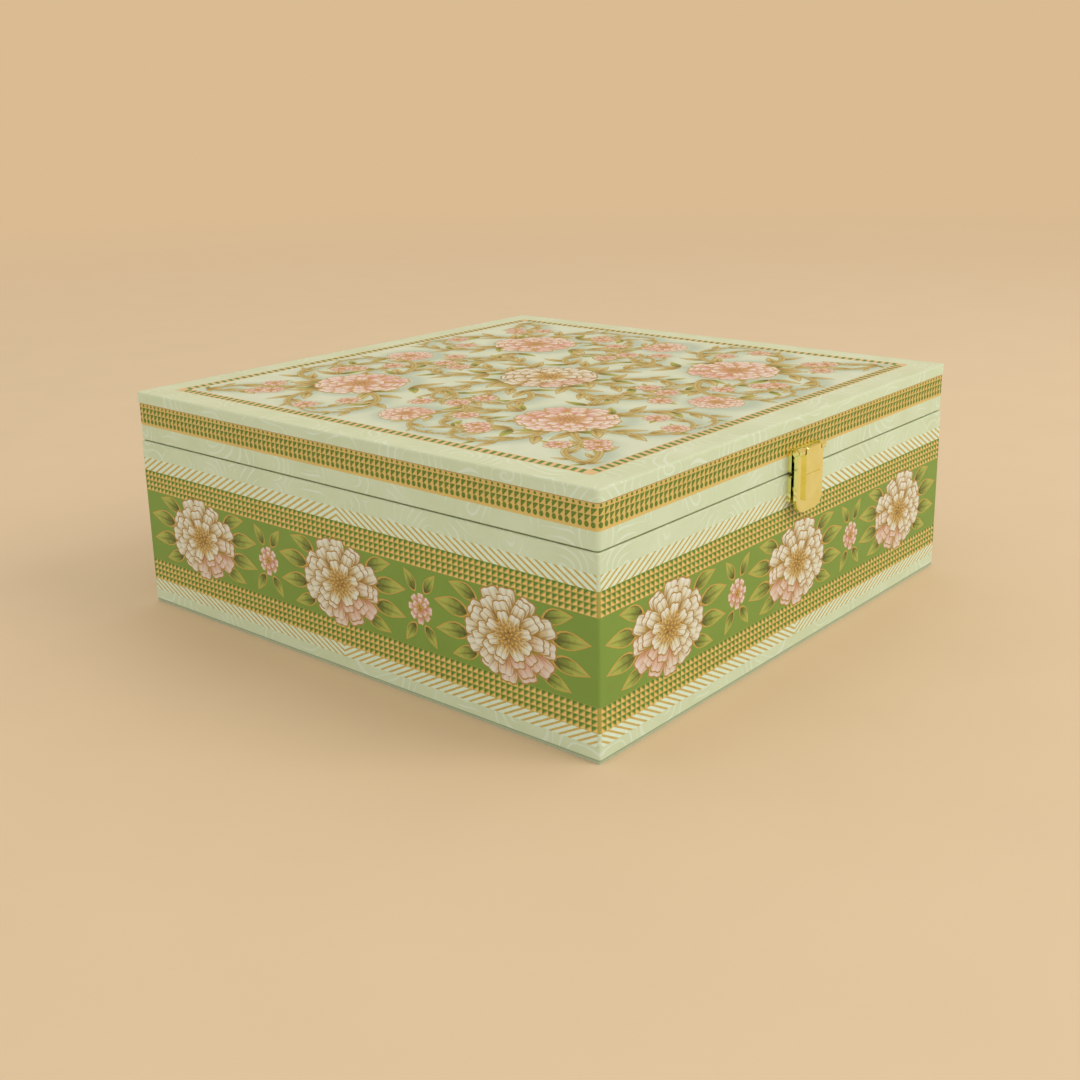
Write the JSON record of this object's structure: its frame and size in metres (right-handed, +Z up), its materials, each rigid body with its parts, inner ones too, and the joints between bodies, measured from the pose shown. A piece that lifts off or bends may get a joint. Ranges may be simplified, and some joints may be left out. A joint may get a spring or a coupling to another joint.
{
  "type": "sweet box",
  "caption": "Square board sweet box covered in printed paper, with a lid on brass butt hinges behind and a gilt flap clasp with a snap catch in front.",
  "frame": {"origin": "middle of the underside, on the table plane", "axes": "+Z up, -Y out of the front with the clasp, +Y out of the back with the hinges, +X to the right seen from the front"},
  "size_m": [0.2608, 0.2707, 0.099],
  "materials": {
    "wood_fibre_board": "raw pressed fibre board",
    "printed_paper": "satin coated printed paper",
    "lining_paper": "matt lining paper",
    "bottom_card": "matt pressed card",
    "gilt_clasp": "polished gilt plating",
    "hinge_brass": "polished brass",
    "brass_nails": "polished brass",
    "spring_steel": "bright spring steel"
  },
  "bodies": {
    "base": {"base_back_wall": "wood_fibre_board", "base_floor_board": "wood_fibre_board", "base_floor_lining": "lining_paper", "base_front_wall": "wood_fibre_board", "base_left_wall": "wood_fibre_board", "base_right_wall": "wood_fibre_board", "base_wall_lining": "lining_paper", "base_wrap": "printed_paper", "bottom_cover_sheet": "bottom_card", "catch_rivet": "brass_nails", "catch_spring": "spring_steel", "hinge_base_nails": "brass_nails", "latch_base_nails": "brass_nails", "latch_base_plate": "gilt_clasp", "left_hinge_base_leaf": "hinge_brass", "left_hinge_pin": "hinge_brass", "right_hinge_base_leaf": "hinge_brass", "right_hinge_pin": "hinge_brass"},
    "lid": {"hinge_lid_nails": "brass_nails", "latch_lid_nails": "brass_nails", "latch_lid_plate": "gilt_clasp", "latch_pin": "gilt_clasp", "left_hinge_lid_leaf": "hinge_brass", "lid_back_wall": "wood_fibre_board", "lid_ceiling_lining": "lining_paper", "lid_front_wall": "wood_fibre_board", "lid_left_wall": "wood_fibre_board", "lid_right_wall": "wood_fibre_board", "lid_side_wrap": "printed_paper", "lid_top_board": "wood_fibre_board", "lid_top_wrap": "printed_paper", "lid_wall_lining": "lining_paper", "right_hinge_lid_leaf": "hinge_brass"},
    "latch_lever": {"latch_lever": "gilt_clasp"}
  },
  "joints": [
    {"name": "lid_hinge", "type": "hinge", "parent": "base", "child": "lid", "pos_m": [0, 0.1324, 0.0768], "axis": [-1, 0, 0], "range_deg": [0, 180], "deforming": ["catch_spring"]},
    {"name": "flap_swing", "type": "hinge", "parent": "lid", "child": "latch_lever", "pos_m": [0, -0.134, 0.0858], "axis": [-1, 0, 0], "range_deg": [0, 100], "deforming": ["catch_spring"]}
  ]
}
